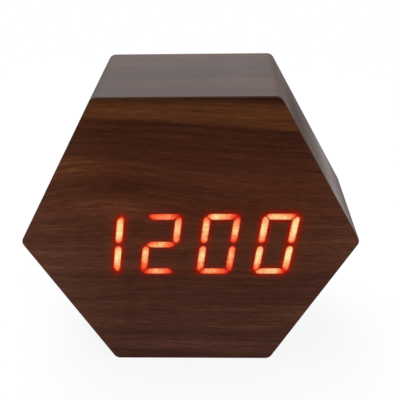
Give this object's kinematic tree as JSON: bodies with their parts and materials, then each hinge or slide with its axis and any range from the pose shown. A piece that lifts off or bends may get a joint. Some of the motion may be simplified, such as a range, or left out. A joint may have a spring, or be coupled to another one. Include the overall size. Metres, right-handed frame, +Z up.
{
  "type": "digital desk clock",
  "caption": "Hexagonal wood-wrapped desk clock whose seven-segment display glows through the veneer, with buttons, power socket and battery bay at the back.",
  "frame": {"origin": "middle of the flat face that the clock stands on, under the middle of its depth", "axes": "+Z up, the display faces -Y, +X to the right of someone who reads the display"},
  "size_m": [0.0992, 0.042, 0.088],
  "materials": {
    "walnut_veneer": "satin film, dark walnut figure",
    "fibreboard": "sawn, raw",
    "diffuser": "frosted film",
    "white_plastic": "fine matt",
    "lit_resin": "clear casting, lit from behind",
    "dark_resin": "clear casting, not lit",
    "light_chip": "clear",
    "board_green": "solder mask",
    "black_screw": "black oxide",
    "black_moulding": "matt",
    "bright_metal": "plated",
    "black_sleeve": "sleeved can",
    "black_plate": "fine moulded texture",
    "black_button": "smooth matt",
    "nickel_contact": "nickel plated spring steel",
    "cell_sleeve": "printed sleeve, plain",
    "grey_ribbon": "satin",
    "red_wire": "satin",
    "black_wire": "satin"
  },
  "bodies": {
    "root": {"front_veneer": "walnut_veneer", "side_veneer": "walnut_veneer", "rear_veneer": "walnut_veneer", "front_board": "fibreboard", "case_ring": "fibreboard", "diffuser_film": "diffuser", "light_guide": "white_plastic", "lit_bars": "lit_resin", "dark_bars": "dark_resin", "colon_dots": "dark_resin", "light_chips": "light_chip", "display_board": "board_green", "control_board": "board_green", "plate_screws": "black_screw", "controller_chip": "black_moulding", "crystal": "bright_metal", "capacitor": "black_sleeve", "back_plate": "black_plate", "set_switch": "black_moulding", "up_switch": "black_moulding", "down_switch": "black_moulding", "power_socket": "black_moulding", "socket_pin": "bright_metal", "buzzer": "black_moulding", "positive_contact": "nickel_contact", "negative_contact": "nickel_contact", "link_contact_upper": "nickel_contact", "link_contact_lower": "nickel_contact", "contact_spring_1": "nickel_contact", "contact_spring_2": "nickel_contact", "contact_spring_3": "nickel_contact", "cell_1": "cell_sleeve", "cell_2": "cell_sleeve", "cell_3": "cell_sleeve", "front_header": "white_plastic", "rear_header": "white_plastic", "ribbon_cable": "grey_ribbon", "positive_lead": "red_wire", "negative_lead": "black_wire"},
    "set_button": {"set_button": "black_button"},
    "up_button": {"up_button": "black_button"},
    "down_button": {"down_button": "black_button"},
    "set_plunger": {"set_plunger": "white_plastic"},
    "up_plunger": {"up_plunger": "white_plastic"},
    "down_plunger": {"down_plunger": "white_plastic"},
    "battery_door": {"battery_door": "black_plate", "door_latch": "black_plate"}
  },
  "joints": [
    {"name": "set_press", "type": "slide", "parent": "root", "child": "set_button", "axis": [0, -1, 0], "range_m": [0, 0.0003], "stiffness_N_per_m": 1500},
    {"name": "set_plunger_press", "type": "slide", "parent": "root", "child": "set_plunger", "axis": [0, -1, 0], "range_m": [0, 0.0003]},
    {"name": "up_press", "type": "slide", "parent": "root", "child": "up_button", "axis": [0, -1, 0], "range_m": [0, 0.0003], "stiffness_N_per_m": 1500},
    {"name": "up_plunger_press", "type": "slide", "parent": "root", "child": "up_plunger", "axis": [0, -1, 0], "range_m": [0, 0.0003]},
    {"name": "down_press", "type": "slide", "parent": "root", "child": "down_button", "axis": [0, -1, 0], "range_m": [0, 0.0003], "stiffness_N_per_m": 1500},
    {"name": "down_plunger_press", "type": "slide", "parent": "root", "child": "down_plunger", "axis": [0, -1, 0], "range_m": [0, 0.0003]},
    {"name": "battery_door_swing", "type": "hinge", "parent": "root", "child": "battery_door", "pos_m": [0, 0.0195, 0.0185], "axis": [-1, 0, 0], "range_deg": [0, 45], "deforming": ["door_latch"]}
  ],
  "couplings": [
    {"joint": "set_plunger_press", "follows": "set_press", "ratio": 1},
    {"joint": "up_plunger_press", "follows": "up_press", "ratio": 1},
    {"joint": "down_plunger_press", "follows": "down_press", "ratio": 1}
  ]
}
